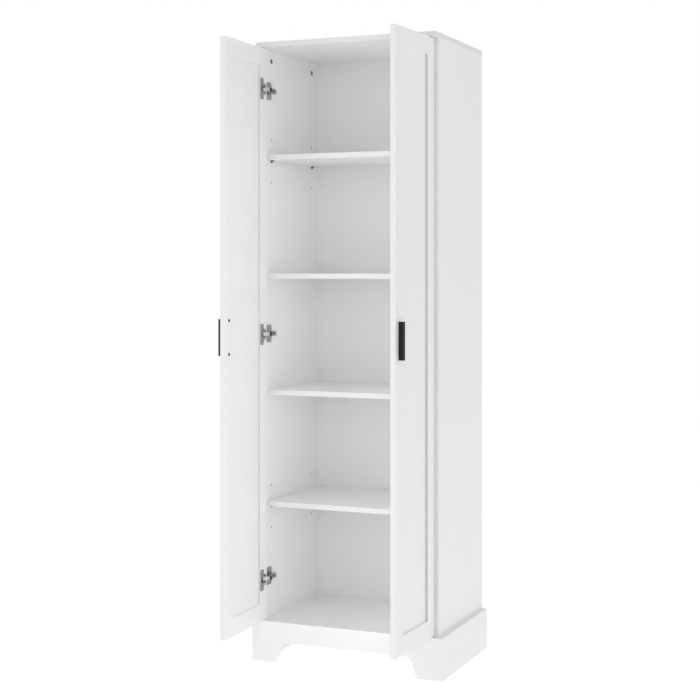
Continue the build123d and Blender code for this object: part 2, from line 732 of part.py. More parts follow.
# Hinge arms: two cheeks under a bent back, clear of the link between them
arm_half = cheek_z + arm_wall
arm_back = [
    (inner_x - arm_front_height, front_y + arm_front),
    (inner_x - arm_body_height, front_y + arm_body_front),
    (inner_x - arm_body_height, front_y + arm_tail),
]
arm_outline = arm_back + [
    (inner_x - arm_foot, front_y + arm_tail),
    (inner_x - arm_foot, front_y + arm_body_front),
    (inner_x - arm_body_height, front_y + arm_front),
]
nose_root = (arm_pin.X, front_y + arm_nose_root)
web_half = arm_wall / 2
web_line = [(x + web_half, y) for x, y in arm_back]
arm_screw_spots = [(front_y + setback, height) for setback in arm_screw_setbacks for height in hinge_heights]
with BuildPart() as arms:
    for height in hinge_heights:
        for level in (-arm_half, cheek_z):
            with BuildSketch(Plane.XY.offset(height + level)):
                with BuildLine():
                    Polyline(*arm_outline, close=True)
                make_face()
                with BuildLine():
                    Line(arm_pin, nose_root)
                trace(line_width=2 * arm_nose_r)
                with Locations(arm_pin):
                    Circle(arm_nose_r)
                    Circle(hinge_pin_r, mode=Mode.SUBTRACT)
            extrude(amount=arm_wall)
        with BuildSketch(Plane.XY.offset(height - arm_half)):
            with BuildLine():
                Polyline(*web_line)
            trace(line_width=arm_wall)
        extrude(amount=2 * arm_half)
    with BuildSketch(side_plane(inner_x)):
        with Locations(*arm_screw_spots):
            Circle(arm_screw_r)
    extrude(amount=-arm_front_height - arm_wall, mode=Mode.SUBTRACT)
keep_pair("hinge_arms", arms.part)

with BuildPart() as arm_pins:
    for height in hinge_heights:
        with BuildSketch(Plane.XY.offset(height - arm_half)):
            with Locations(arm_pin):
                Circle(hinge_pin_r)
        extrude(amount=2 * arm_half)
keep_pair("hinge_arm_pins", arm_pins.part)

# Mounting plates: a plate with rounded corners, and a saddle that carries the arm
saddle_height = arm_body_height - arm_wall
plate_spots = [(front_y + plate_front + plate_depth / 2, height) for height in hinge_heights]
saddle_spots = [(front_y + (saddle_front + saddle_back) / 2, height) for height in hinge_heights]
plate_screw_spots = [
    (front_y + plate_screw_setback, height + side * plate_screw_pitch / 2)
    for height in hinge_heights
    for side in (-1, 1)
]
with BuildPart() as plates:
    with BuildSketch(side_plane(inner_x)):
        with Locations(*plate_spots):
            RectangleRounded(plate_depth, plate_height, plate_corner)
    extrude(amount=-plate_thickness)
    with BuildSketch(side_plane(inner_x)):
        with Locations(*saddle_spots):
            Rectangle(saddle_back - saddle_front, link_height)
    extrude(amount=-saddle_height)
    with BuildSketch(side_plane(inner_x)):
        with Locations(*plate_screw_spots):
            Circle(wood_screw_r)
    extrude(amount=-plate_thickness, mode=Mode.SUBTRACT)
    with BuildSketch(side_plane(inner_x)):
        with Locations(*arm_screw_spots):
            Circle(arm_screw_r)
    extrude(amount=-saddle_height, mode=Mode.SUBTRACT)
keep_pair("hinge_plates", plates.part)

plate_screw_top = plate_thickness + wood_screw_proud
with BuildPart() as plate_screws:
    for radius, length in ((wood_screw_r, plate_screw_top + board - dowel_end_gap),
                           (wood_screw_head_r, wood_screw_proud)):
        with BuildSketch(side_plane(inner_x - plate_screw_top)):
            with Locations(*plate_screw_spots):
                Circle(radius)
        extrude(amount=length)
    cut_crosses(
        side_plane(inner_x - plate_screw_top),
        plate_screw_spots,
        wood_screw_cross,
        cross_width,
        wood_screw_proud / 2,
    )
keep_pair("hinge_plate_screws", plate_screws.part)

arm_screw_top = arm_body_height + arm_screw_head_height
with BuildPart() as arm_screws:
    for radius, length in ((arm_screw_r, arm_screw_top), (arm_screw_head_r, arm_screw_head_height)):
        with BuildSketch(side_plane(inner_x - arm_screw_top)):
            with Locations(*arm_screw_spots):
                Circle(radius)
        extrude(amount=length)
    cut_crosses(
        side_plane(inner_x - arm_screw_top),
        arm_screw_spots,
        arm_screw_cross,
        cross_width,
        arm_screw_head_height / 2,
    )
keep_pair("hinge_arm_screws", arm_screws.part)
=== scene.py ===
import json
import math

import bmesh
import bpy
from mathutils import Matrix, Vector

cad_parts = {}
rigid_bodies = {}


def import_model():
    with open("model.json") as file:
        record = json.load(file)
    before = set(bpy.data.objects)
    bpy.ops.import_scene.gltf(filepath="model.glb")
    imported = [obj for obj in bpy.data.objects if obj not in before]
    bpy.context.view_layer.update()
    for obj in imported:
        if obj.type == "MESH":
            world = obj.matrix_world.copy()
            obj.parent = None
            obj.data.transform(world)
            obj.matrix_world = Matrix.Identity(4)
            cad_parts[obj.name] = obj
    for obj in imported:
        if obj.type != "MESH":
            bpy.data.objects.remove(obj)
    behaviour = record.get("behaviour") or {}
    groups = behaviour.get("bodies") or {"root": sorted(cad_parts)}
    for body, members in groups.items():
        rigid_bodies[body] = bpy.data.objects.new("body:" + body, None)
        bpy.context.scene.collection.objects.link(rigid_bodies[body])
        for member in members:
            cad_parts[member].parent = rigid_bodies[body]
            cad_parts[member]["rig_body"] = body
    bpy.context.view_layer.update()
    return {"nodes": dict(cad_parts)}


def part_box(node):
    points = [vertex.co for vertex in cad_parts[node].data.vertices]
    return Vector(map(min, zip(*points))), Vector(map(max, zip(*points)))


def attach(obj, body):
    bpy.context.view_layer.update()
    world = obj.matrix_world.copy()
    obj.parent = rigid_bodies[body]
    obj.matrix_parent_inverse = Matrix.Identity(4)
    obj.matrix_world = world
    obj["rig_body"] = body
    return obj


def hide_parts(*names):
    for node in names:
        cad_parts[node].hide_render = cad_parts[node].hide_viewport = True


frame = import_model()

nodes = frame["nodes"]

# ---------------------------------------------------------------------------------------------
# Studio: a level camera to the right of the cabinet at chest height, on a long lens shifted down
# to take in the feet. A white sky fills every side, and soft boxes at the front and the right
# model the doors and reach the shelves.
camera_data = bpy.data.cameras.new("studio_camera")
camera_data.sensor_width = 36.0
camera_data.lens = 75.98
camera_data.shift_x = 0.0011
camera_data.shift_y = -0.1151
camera_data.clip_end = 60.0
camera = bpy.data.objects.new("studio_camera", camera_data)
camera.location = (1.7021, -4.3528, 1.1653)
camera.rotation_euler = (math.radians(90.0), 0.0, 0.4045)
bpy.context.scene.collection.objects.link(camera)
bpy.context.scene.camera = camera
bpy.context.scene.view_settings.view_transform = "Standard"

soft_boxes = {
    "right_light": ((4.6, -1.6, 1.6), (0.0, -0.3, 0.95), (3.0, 3.0), 10.0),
    "front_light": ((1.2, -5.2, 1.8), (0.0, -0.3, 0.95), (2.4, 2.4), 20.0),
    "shelf_fill": ((0.0, -1.1, 0.95), (0.0, 0.0, 0.95), (0.5, 1.7), 0.3),
    "inside_fill": ((0.262, -0.19, 0.97), (-0.27, -0.19, 0.97), (0.34, 1.68), 0.85),
    "left_wall_fill": ((0.12, -0.62, 0.95), (-0.27, -0.35, 0.95), (0.25, 1.7), 0.8),
}
for light_name, (place, aim, size, power) in soft_boxes.items():
    light_data = bpy.data.lights.new(light_name, "AREA")
    light_data.shape = "RECTANGLE"
    light_data.size, light_data.size_y = size
    light_data.energy = power
    light = bpy.data.objects.new(light_name, light_data)
    light.location = place
    light.rotation_euler = (Vector(aim) - light.location).to_track_quat("-Z", "Y").to_euler()
    light.visible_camera = False
    bpy.context.scene.collection.objects.link(light)

sky_strength = 0.68
sky = bpy.data.worlds.new("studio_sky")
sky.use_nodes = True
sky_tree = sky.node_tree
sky_tree.nodes["Background"].inputs["Color"].default_value = (1.0, 1.0, 1.0, 1.0)
sky_tree.nodes["Background"].inputs["Strength"].default_value = sky_strength
seen_sky = sky_tree.nodes.new("ShaderNodeBackground")
sky_ray = sky_tree.nodes.new("ShaderNodeLightPath")
sky_pick = sky_tree.nodes.new("ShaderNodeMixShader")
sky_tree.links.new(sky_ray.outputs["Is Camera Ray"], sky_pick.inputs["Fac"])
sky_tree.links.new(sky_tree.nodes["Background"].outputs["Background"], sky_pick.inputs[1])
sky_tree.links.new(seen_sky.outputs["Background"], sky_pick.inputs[2])
sky_tree.links.new(sky_pick.outputs["Shader"], sky_tree.nodes["World Output"].inputs["Surface"])
seen_sky.inputs["Color"].default_value = (1.0, 1.0, 1.0, 1.0)
bpy.context.scene.world = sky

# ---------------------------------------------------------------------------------------------
# Plinth: a front board and two side boards of painted fibreboard, mitred at the corners, with the
# front cut out into bracket feet. The paint is a satin lacquer with a faint orange peel.


def new_finish(name, roughness, metallic=0.0):
    """A new material, with its node tree, its shader and its object coordinates."""
    finish = bpy.data.materials.new(name)
    finish.use_nodes = True
    tree = finish.node_tree
    shader = tree.nodes["Principled BSDF"]
    shader.inputs["Roughness"].default_value = roughness
    shader.inputs["Metallic"].default_value = metallic
    return finish, tree, shader, tree.nodes.new("ShaderNodeTexCoord").outputs["Object"]


def cloud(tree, place, scale, detail=2.0, stretch=(1.0, 1.0, 1.0)):
    """Noise with features about 1 / scale metres across, stretched along an axis if wanted."""
    mapping = tree.nodes.new("ShaderNodeMapping")
    mapping.inputs["Scale"].default_value = stretch
    noise = tree.nodes.new("ShaderNodeTexNoise")
    noise.inputs["Scale"].default_value = scale
    noise.inputs["Detail"].default_value = detail
    tree.links.new(place, mapping.inputs["Vector"])
    tree.links.new(mapping.outputs["Vector"], noise.inputs["Vector"])
    return noise.outputs["Fac"]


cloud_low, cloud_high = 0.3, 0.7


def tint(tree, shader, pattern, dark, light):
    """Run the base colour from dark to light along a pattern."""
    ramp = tree.nodes.new("ShaderNodeValToRGB")
    for stop, position, colour in zip(ramp.color_ramp.elements, (cloud_low, cloud_high), (dark, light)):
        stop.position = position
        stop.color = (*colour, 1.0)
    tree.links.new(pattern, ramp.inputs["Fac"])
    tree.links.new(ramp.outputs["Color"], shader.inputs["Base Color"])


def gloss(tree, shader, pattern, low, high):
    """Let the roughness wander between two values along a pattern."""
    span = tree.nodes.new("ShaderNodeMapRange")
    span.inputs["From Min"].default_value = cloud_low
    span.inputs["From Max"].default_value = cloud_high
    span.inputs["To Min"].default_value = low
    span.inputs["To Max"].default_value = high
    tree.links.new(pattern, span.inputs["Value"])
    tree.links.new(span.outputs["Result"], shader.inputs["Roughness"])


def relief(tree, shader, pattern, depth):
    """Raise the surface along a pattern, by a depth in metres."""
    bump = tree.nodes.new("ShaderNodeBump")
    bump.inputs["Distance"].default_value = depth
    tree.links.new(pattern, bump.inputs["Height"])
    tree.links.new(bump.outputs["Normal"], shader.inputs["Normal"])


satin_paint, tree, shader, place = new_finish("satin_paint", 0.38)
tint(tree, shader, cloud(tree, place, 3.0), (0.89, 0.89, 0.892), (0.905, 0.905, 0.905))
gloss(tree, shader, cloud(tree, place, 40.0), 0.34, 0.42)
relief(tree, shader, cloud(tree, place, 420.0), 0.00003)


same_spot = 0.000002
same_plane = math.radians(0.5)


def merged_copy(node):
    """A bmesh of a CAD node with its loose triangles joined and its flat faces made whole."""
    build = bmesh.new()
    build.from_mesh(nodes[node].data)
    bmesh.ops.remove_doubles(build, verts=build.verts, dist=same_spot)
    bmesh.ops.dissolve_limit(build, angle_limit=same_plane, verts=build.verts, edges=build.edges)
    return build


def settle(piece, node):
    """Let a finished piece ride and stand in for its CAD node."""
    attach(piece, nodes[node]["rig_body"])
    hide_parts(node)


sharp_corner = math.radians(32.0)


def dress(node, finishes, ease, pick=None, rings=2):
    """A finished piece from a CAD node: edges eased by a round, and faces picked to a finish."""
    build = merged_copy(node)
    for face in build.faces:
        face.smooth = True
        face.material_index = pick(face) if pick else 0
    mesh = bpy.data.meshes.new(node + "_finished")
    build.to_mesh(mesh)
    build.free()
    for finish in finishes:
        mesh.materials.append(finish)
    piece = bpy.data.objects.new(node + "_finished", mesh)
    bpy.context.scene.collection.objects.link(piece)
    rounding = piece.modifiers.new("eased_edges", "BEVEL")
    rounding.width = ease
    rounding.segments = rings
    rounding.limit_method = "ANGLE"
    rounding.angle_limit = sharp_corner
    rounding.miter_outer = "MITER_ARC"
    rounding.use_clamp_overlap = True
    flats = piece.modifiers.new("flat_faces", "WEIGHTED_NORMAL")
    flats.keep_sharp = True
    settle(piece, node)


# Raw chipboard for bores, grooves, feet and undersides. The brown is the board's own, but the tint is
# darker than its real tan: a painted shade in the bores.
chipboard_with_painted_shade, tree, shader, place = new_finish("raw_chipboard_with_painted_shade", 0.85)
tint(tree, shader, cloud(tree, place, 380.0, 5.0), (0.14, 0.1, 0.07), (0.38, 0.28, 0.19))
relief(tree, shader, cloud(tree, place, 700.0, 3.0), 0.0002)


def under_raw(face):
    """Raw board on the faces that look at the floor, and the finish everywhere else."""
    return 1 if face.normal.z < -0.9 else 0


plinth_ease = 0.0012
for node in ("plinth_front_board", "left_plinth_board", "right_plinth_board"):
    dress(node, [satin_paint, chipboard_with_painted_shade], plinth_ease, under_raw, rings=3)

# ---------------------------------------------------------------------------------------------
# Case: sides, bottom, top and the rail behind the plinth, of chipboard faced with white melamine
# paper. The paper has a fine pebbled press mark, and a smoother band is glued to each front edge.
melamine, tree, shader, place = new_finish("white_melamine", 0.45)
tint(tree, shader, cloud(tree, place, 2.0), (0.89, 0.89, 0.892), (0.905, 0.905, 0.905))
gloss(tree, shader, cloud(tree, place, 60.0), 0.4, 0.5)
relief(tree, shader, cloud(tree, place, 1500.0, 1.0), 0.00003)

edge_band, tree, shader, place = new_finish("white_edge_band", 0.32)
tint(tree, shader, cloud(tree, place, 12.0), (0.79, 0.79, 0.79), (0.81, 0.81, 0.81))
gloss(tree, shader, cloud(tree, place, 90.0, stretch=(0.1, 1.0, 1.0)), 0.28, 0.36)
relief(tree, shader, cloud(tree, place, 500.0, stretch=(0.05, 1.0, 1.0)), 0.00001)


skin = 0.0003


def board_faces(node):
    """How to tell a board's banded edges and its raw bores, grooves and feet from its faces."""
    low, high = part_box(node)

    def pick(face):
        middle = face.calc_center_median()
        cut_inside = all(low[axis] + skin < middle[axis] < high[axis] - skin for axis in range(3))
        if cut_inside or middle.z < skin:
            return 2
        banded_end = node == "top_panel" and abs(face.normal.x) > 0.9
        return 1 if banded_end or face.normal.y < -0.9 else 0

    return pick


board_ease = 0.0007
board_finishes = [melamine, edge_band, chipboard_with_painted_shade]
for node in ("left_side_panel", "right_side_panel", "bottom_panel", "top_panel", "plinth_back_rail"):
    dress(node, board_finishes, board_ease, board_faces(node))

# ---------------------------------------------------------------------------------------------
# Shelves: two are fixed between the sides, and two lie loose on supports. All are melamine board
# with a banded front edge.
for kind in ("fixed_shelf", "adjustable_shelf"):
    for level in ("upper", "lower"):
        node = f"{kind}_{level}"
        dress(node, board_finishes, board_ease, board_faces(node))

# ---------------------------------------------------------------------------------------------
# Shelf supports: a dark plated steel peg with a wall plate, a flat seat for the shelf and a web
# under it, four to each loose shelf. Every fastener below is made the same way: a tree of nodes
# turns one from its named sizes, and stands it on each place with its local X upwards.
across_axis, depth_axis, upright_axis = Vector((1, 0, 0)), Vector((0, 1, 0)), Vector((0, 0, 1))


def solids_of(node):
    """The corner points of each separate solid of a CAD node."""
    build = merged_copy(node)
    left = set(build.verts)
    groups = []
    while left:
        front = [left.pop()]
        group = []
        while front:
            corner = front.pop()
            group.append(corner.co.copy())
            for edge in corner.link_edges:
                other = edge.other_vert(corner)
                if other in left:
                    left.remove(other)
                    front.append(other)
        groups.append(group)
    build.free()
    return groups


def span_of(points, way):
    """The lowest and highest reach of some points along a direction."""
    reach = [way.dot(p) for p in points]
    return min(reach), max(reach)


def end_of(points, way):
    """The middle of a solid's end on the side that a direction points to."""
    across = way.orthogonal().normalized()
    spot = way * span_of(points, way)[1]
    for axis in (across, way.cross(across)):
        spot += axis * sum(span_of(points, axis)) / 2
    return spot


def length_of(points, way):
    """How long some points are along a direction."""
    low, high = span_of(points, way)
    return high - low


end_slice = 0.0005


def head_way(points, axis):
    """The direction along an axis that points to a solid's wider end."""
    spans = []
    for way in (axis, -axis):
        end = end_of(points, way)
        near = [p - end for p in points if way.dot(end - p) < end_slice]
        spans.append(max(p.cross(way).length for p in near))
    return axis if spans[0] >= spans[1] else -axis


def long_axis(points):
    """The upright, side or depth axis along which a solid is longest."""
    return max((across_axis, depth_axis, upright_axis), key=lambda axis: length_of(points, axis))


head_sink = 0.00002


def places_by_head(node, axis=None):
    """Where each head is, sunk by a hair, and its facing. The axis is the longest if none is given."""
    places = []
    for points in solids_of(node):
        way = head_way(points, axis or long_axis(points))
        places.append((end_of(points, way) - way * head_sink, way))
    return places


def fastener_tree(name, sizes):
    """A tree with its inputs: places, a named number for each size, a turn and a finish."""
    tree = bpy.data.node_groups.new(name, "GeometryNodeTree")
    tree.interface.new_socket("Places", in_out="INPUT", socket_type="NodeSocketGeometry")
    for label, value in sizes.items():
        number = tree.interface.new_socket(label, in_out="INPUT", socket_type="NodeSocketFloat")
        number.default_value = value
    tree.interface.new_socket("Turn Seed", in_out="INPUT", socket_type="NodeSocketInt")
    tree.interface.new_socket("Finish", in_out="INPUT", socket_type="NodeSocketMaterial")
    tree.interface.new_socket("Pieces", in_out="OUTPUT", socket_type="NodeSocketGeometry")
    return tree, tree.nodes.new("NodeGroupInput").outputs


def put(tree, socket, value):
    """Give a socket a number, or the output of another node."""
    if isinstance(value, bpy.types.NodeSocket):
        tree.links.new(value, socket)
    else:
        socket.default_value = value


def work_out(tree, how, first, second):
    """One step of arithmetic on two numbers or outputs."""
    step = tree.nodes.new("ShaderNodeMath")
    step.operation = how
    put(tree, step.inputs[0], first)
    put(tree, step.inputs[1], second)
    return step.outputs["Value"]


def triple(tree, x, y, z):
    """A vector from three numbers or outputs."""
    vector = tree.nodes.new("ShaderNodeCombineXYZ")
    for socket, value in zip(vector.inputs, (x, y, z)):
        put(tree, socket, value)
    return vector.outputs["Vector"]


def shifted(tree, geometry, x, y, z):
    """Geometry moved along its own axes."""
    move = tree.nodes.new("GeometryNodeTransform")
    tree.links.new(geometry, move.inputs["Geometry"])
    tree.links.new(triple(tree, x, y, z), move.inputs["Translation"])
    return move.outputs["Geometry"]


def turned(tree, low_radius, high_radius, base, height, sides=28):
    """A closed turned length between two radii, standing on a base height."""
    cone = tree.nodes.new("GeometryNodeMeshCone")
    cone.inputs["Vertices"].default_value = sides
    put(tree, cone.inputs["Radius Bottom"], low_radius)
    put(tree, cone.inputs["Radius Top"], high_radius)
    put(tree, cone.inputs["Depth"], height)
    return shifted(tree, cone.outputs["Mesh"], 0.0, 0.0, base)


def slab(tree, width, depth, height, x, y, z):
    """A flat or square length of metal centred on a spot."""
    cube = tree.nodes.new("GeometryNodeMeshCube")
    tree.links.new(triple(tree, width, depth, height), cube.inputs["Size"])
    return shifted(tree, cube.outputs["Mesh"], x, y, z)


def cut_away(tree, body, tools):
    """A body with tools cut out of it."""
    cutter = tree.nodes.new("GeometryNodeMeshBoolean")
    cutter.operation = "DIFFERENCE"
    tree.links.new(body, cutter.inputs["Mesh 1"])
    for tool in tools:
        tree.links.new(tool, cutter.inputs["Mesh 2"])
    return cutter.outputs["Mesh"]


def cross_cutters(tree, size):
    """The two bars of a driver's cross, centred on the head's face."""
    long, wide, deep = size["Cross Length"], size["Cross Width"], size["Cross Depth"]
    return [slab(tree, long, wide, deep, 0.0, 0.0, 0.0), slab(tree, wide, long, deep, 0.0, 0.0, 0.0)]


def threaded(tree, radius, ridge, turns, base, length):
    """A rolled thread: a three-sided ridge wound up a core."""
    winding = tree.nodes.new("GeometryNodeCurveSpiral")
    winding.inputs["Resolution"].default_value = 14
    put(tree, winding.inputs["Rotations"], turns)
    put(tree, winding.inputs["Start Radius"], radius)
    put(tree, winding.inputs["End Radius"], radius)
    put(tree, winding.inputs["Height"], length)
    section = tree.nodes.new("GeometryNodeCurvePrimitiveCircle")
    section.inputs["Resolution"].default_value = 3
    put(tree, section.inputs["Radius"], ridge)
    sweep = tree.nodes.new("GeometryNodeCurveToMesh")
    sweep.inputs["Fill Caps"].default_value = True
    tree.links.new(winding.outputs["Curve"], sweep.inputs["Curve"])
    tree.links.new(section.outputs["Curve"], sweep.inputs["Profile Curve"])
    return shifted(tree, sweep.outputs["Mesh"], 0.0, 0.0, base)


def stand_on_places(tree, sizes, bodies, spin):
    """Join the bodies, stand them on each place, make them real and give them their finish."""
    join = tree.nodes.new("GeometryNodeJoinGeometry")
    for body in bodies:
        tree.links.new(body, join.inputs["Geometry"])
    facing = tree.nodes.new("GeometryNodeInputNamedAttribute")
    facing.data_type = "FLOAT_VECTOR"
    facing.inputs["Name"].default_value = "facing"
    aim = tree.nodes.new("FunctionNodeAlignRotationToVector")
    aim.axis = "Z"
    tree.links.new(facing.outputs["Attribute"], aim.inputs["Vector"])
    upright = tree.nodes.new("FunctionNodeAlignRotationToVector")
    upright.axis = "X"
    upright.pivot_axis = "Z"
    upright.inputs["Vector"].default_value = (0.0, 0.0, 1.0)
    tree.links.new(aim.outputs["Rotation"], upright.inputs["Rotation"])
    chance = tree.nodes.new("FunctionNodeRandomValue")
    chance.inputs[3].default_value = spin
    tree.links.new(sizes["Turn Seed"], chance.inputs["Seed"])
    twist = tree.nodes.new("FunctionNodeAxisAngleToRotation")
    twist.inputs["Axis"].default_value = (0.0, 0.0, 1.0)
    tree.links.new(chance.outputs[1], twist.inputs["Angle"])
    both = tree.nodes.new("FunctionNodeRotateRotation")
    both.rotation_space = "LOCAL"
    tree.links.new(upright.outputs["Rotation"], both.inputs["Rotation"])
    tree.links.new(twist.outputs["Rotation"], both.inputs["Rotate By"])
    stand = tree.nodes.new("GeometryNodeInstanceOnPoints")
    tree.links.new(sizes["Places"], stand.inputs["Points"])
    tree.links.new(join.outputs["Geometry"], stand.inputs["Instance"])
    tree.links.new(both.outputs["Rotation"], stand.inputs["Rotation"])
    real = tree.nodes.new("GeometryNodeRealizeInstances")
    tree.links.new(stand.outputs["Instances"], real.inputs["Geometry"])
    paint = tree.nodes.new("GeometryNodeSetMaterial")
    tree.links.new(real.outputs["Geometry"], paint.inputs["Geometry"])
    tree.links.new(sizes["Finish"], paint.inputs["Material"])
    tree.links.new(paint.outputs["Geometry"], tree.nodes.new("NodeGroupOutput").inputs["Pieces"])


def place_fasteners(node, tree, places, finish, sizes):
    """Fasteners for a CAD node, made as one plain mesh. A place is a spot and a facing."""
    mesh = bpy.data.meshes.new(node + "_places")
    mesh.from_pydata([spot for spot, _ in places], [], [])
    facing = mesh.attributes.new("facing", "FLOAT_VECTOR", "POINT")
    for item, (_, way) in zip(facing.data, places):
        item.vector = way
    piece = bpy.data.objects.new(node + "_finished", mesh)
    bpy.context.scene.collection.objects.link(piece)
    maker = piece.modifiers.new("maker", "NODES")
    maker.node_group = tree
    values = {"Turn Seed": len(places), "Finish": finish, **sizes}
    for item in tree.interface.items_tree:
        if item.in_out == "INPUT" and item.name in values:
            maker[item.identifier] = values[item.name]
    made = bpy.data.meshes.new_from_object(piece.evaluated_get(bpy.context.evaluated_depsgraph_get()))
    piece.modifiers.clear()
    piece.data = made
    for face in made.polygons:
        face.use_smooth = True
    made.set_sharp_from_angle(angle=math.radians(35.0))
    settle(piece, node)


dark_nickel, tree, shader, place = new_finish("dark_nickel_plate", 0.4, 1.0)
tint(tree, shader, cloud(tree, place, 150.0, 4.0), (0.13, 0.13, 0.13), (0.22, 0.22, 0.215))
gloss(tree, shader, cloud(tree, place, 600.0), 0.32, 0.48)
relief(tree, shader, cloud(tree, place, 1200.0), 0.00001)

support_tree, size = fastener_tree(
    "shelf_support",
    {"Peg Radius": 0.00245, "Peg Length": 0.008, "Width": 0.009, "Height": 0.007, "Reach": 0.009,
     "Plate": 0.0014},
)
below = work_out(support_tree, "MULTIPLY", size["Peg Length"], -1.0)
half_reach = work_out(support_tree, "MULTIPLY", size["Reach"], 0.5)
half_plate = work_out(support_tree, "MULTIPLY", size["Plate"], 0.5)
half_height = work_out(support_tree, "MULTIPLY", size["Height"], 0.5)
seat_rise = work_out(support_tree, "SUBTRACT", half_height, half_plate)
support_bodies = [
    turned(support_tree, size["Peg Radius"], size["Peg Radius"], below, size["Peg Length"]),
    slab(support_tree, size["Height"], size["Width"], size["Plate"], 0.0, 0.0, half_plate),
    slab(support_tree, size["Plate"], size["Width"], size["Reach"], seat_rise, 0.0, half_reach),
    slab(support_tree, size["Height"], size["Plate"], half_reach, 0.0, 0.0,
         work_out(support_tree, "MULTIPLY", half_reach, 0.5)),
]
stand_on_places(support_tree, size, support_bodies, 0.0)
support_reach = 0.009
tip_slice = 0.0001
support_places = []
for points in solids_of("shelf_supports"):
    inward = -across_axis if points[0].x > 0 else across_axis
    seat_end = end_of(points, inward)
    tip = [p for p in points if (seat_end - p).dot(inward) < tip_slice]
    seat_end.z = sum(span_of(tip, upright_axis)) / 2
    support_places.append((seat_end - inward * support_reach, inward))
place_fasteners("shelf_supports", support_tree, support_places, dark_nickel,
                {"Reach": support_reach})

# ---------------------------------------------------------------------------------------------
# Back: two 3 mm hardboard sheets, printed white on the face and raw brown behind, held in the
# sides' grooves and joined by a white plastic strip.
back_white, tree, shader, place = new_finish("back_white_print", 0.5)
tint(tree, shader, cloud(tree, place, 1.6), (0.83, 0.83, 0.835), (0.85, 0.85, 0.85))
gloss(tree, shader, cloud(tree, place, 25.0), 0.45, 0.55)
relief(tree, shader, cloud(tree, place, 700.0, 1.0), 0.00002)

raw_hardboard, tree, shader, place = new_finish("raw_hardboard", 0.8)
tint(tree, shader, cloud(tree, place, 160.0, 6.0), (0.22, 0.125, 0.06), (0.38, 0.235, 0.13))
relief(tree, shader, cloud(tree, place, 900.0, 3.0), 0.0001)

strip_plastic, tree, shader, place = new_finish("white_strip_plastic", 0.4)
tint(tree, shader, cloud(tree, place, 8.0), (0.8, 0.8, 0.79), (0.83, 0.83, 0.82))
relief(tree, shader, cloud(tree, place, 300.0, stretch=(0.02, 1.0, 1.0)), 0.00001)

for node in ("back_panel_upper", "back_panel_lower"):
    dress(node, [back_white, raw_hardboard], 0.0003,
          lambda face: 0 if face.normal.y < -0.9 else 1)
dress("back_panel_joiner", [strip_plastic], 0.0002)

# ---------------------------------------------------------------------------------------------
# Case fittings: screws, nails, cams, cam bolts and dowels. Screws, nails and bolts are steel wire
# with bright zinc plate, the cams are a dark zinc casting, and the dowels are fluted beech.
bright_zinc, tree, shader, place = new_finish("bright_zinc", 0.35, 1.0)
tint(tree, shader, cloud(tree, place, 150.0, 4.0), (0.5, 0.5, 0.5), (0.66, 0.66, 0.65))
gloss(tree, shader, cloud(tree, place, 600.0), 0.26, 0.44)
relief(tree, shader, cloud(tree, place, 1200.0), 0.00001)

dark_casting, tree, shader, place = new_finish("dark_zinc_casting", 0.5, 1.0)
tint(tree, shader, cloud(tree, place, 220.0, 4.0), (0.14, 0.14, 0.145), (0.24, 0.24, 0.24))
gloss(tree, shader, cloud(tree, place, 700.0), 0.42, 0.6)
relief(tree, shader, cloud(tree, place, 1400.0, 3.0), 0.00004)

beech, tree, shader, place = new_finish("beech", 0.65)
tint(tree, shader, cloud(tree, place, 300.0, 4.0, (0.12, 1.0, 1.0)), (0.5, 0.32, 0.18), (0.68, 0.48, 0.3))
relief(tree, shader, cloud(tree, place, 800.0, 3.0, (0.1, 1.0, 1.0)), 0.00005)

screw_tree, size = fastener_tree(
    "cross_head_screw",
    {"Head Radius": 0.0035, "Neck Radius": 0.0019, "Head Height": 0.0025, "Crown Radius": 0.0028,
     "Crown Height": 0.0005, "Core Radius": 0.0013, "Ridge": 0.00045, "Pitch": 0.0015,
     "Thread Length": 0.02, "Point Length": 0.003, "Cross Length": 0.0042, "Cross Width": 0.001,
     "Cross Depth": 0.0015},
)
crown_base = work_out(screw_tree, "MULTIPLY", size["Crown Height"], -1.0)
head_base = work_out(screw_tree, "MULTIPLY", size["Head Height"], -1.0)
head_rise = work_out(screw_tree, "SUBTRACT", size["Head Height"], size["Crown Height"])
thread_base = work_out(screw_tree, "SUBTRACT", head_base, size["Thread Length"])
point_base = work_out(screw_tree, "SUBTRACT", thread_base, size["Point Length"])
crosses = cross_cutters(screw_tree, size)
screw_bodies = [
    cut_away(screw_tree, turned(screw_tree, size["Neck Radius"], size["Head Radius"], head_base,
                                head_rise), crosses),
    cut_away(screw_tree, turned(screw_tree, size["Head Radius"], size["Crown Radius"], crown_base,
                                size["Crown Height"]), crosses),
    turned(screw_tree, size["Core Radius"], size["Core Radius"], thread_base, size["Thread Length"], 16),
    turned(screw_tree, 0.0002, size["Core Radius"], point_base, size["Point Length"], 16),
    threaded(screw_tree, size["Core Radius"], size["Ridge"],
             work_out(screw_tree, "DIVIDE", size["Thread Length"], size["Pitch"]), thread_base,
             size["Thread Length"]),
]
stand_on_places(screw_tree, size, screw_bodies, math.pi)


def drive_screws(node, axis, kind, finish=bright_zinc):
    """Cross-head screws for a CAD node, each as long as the one that it stands in for."""
    whole = length_of(solids_of(node)[0], axis)
    thread = whole - kind["Head Height"] - kind["Point Length"]
    place_fasteners(node, screw_tree, places_by_head(node, axis), finish,
                    {**kind, "Thread Length": thread})


wood_screw = {"Head Height": 0.0025, "Point Length": 0.003}
drive_screws("plinth_screws", across_axis, wood_screw)

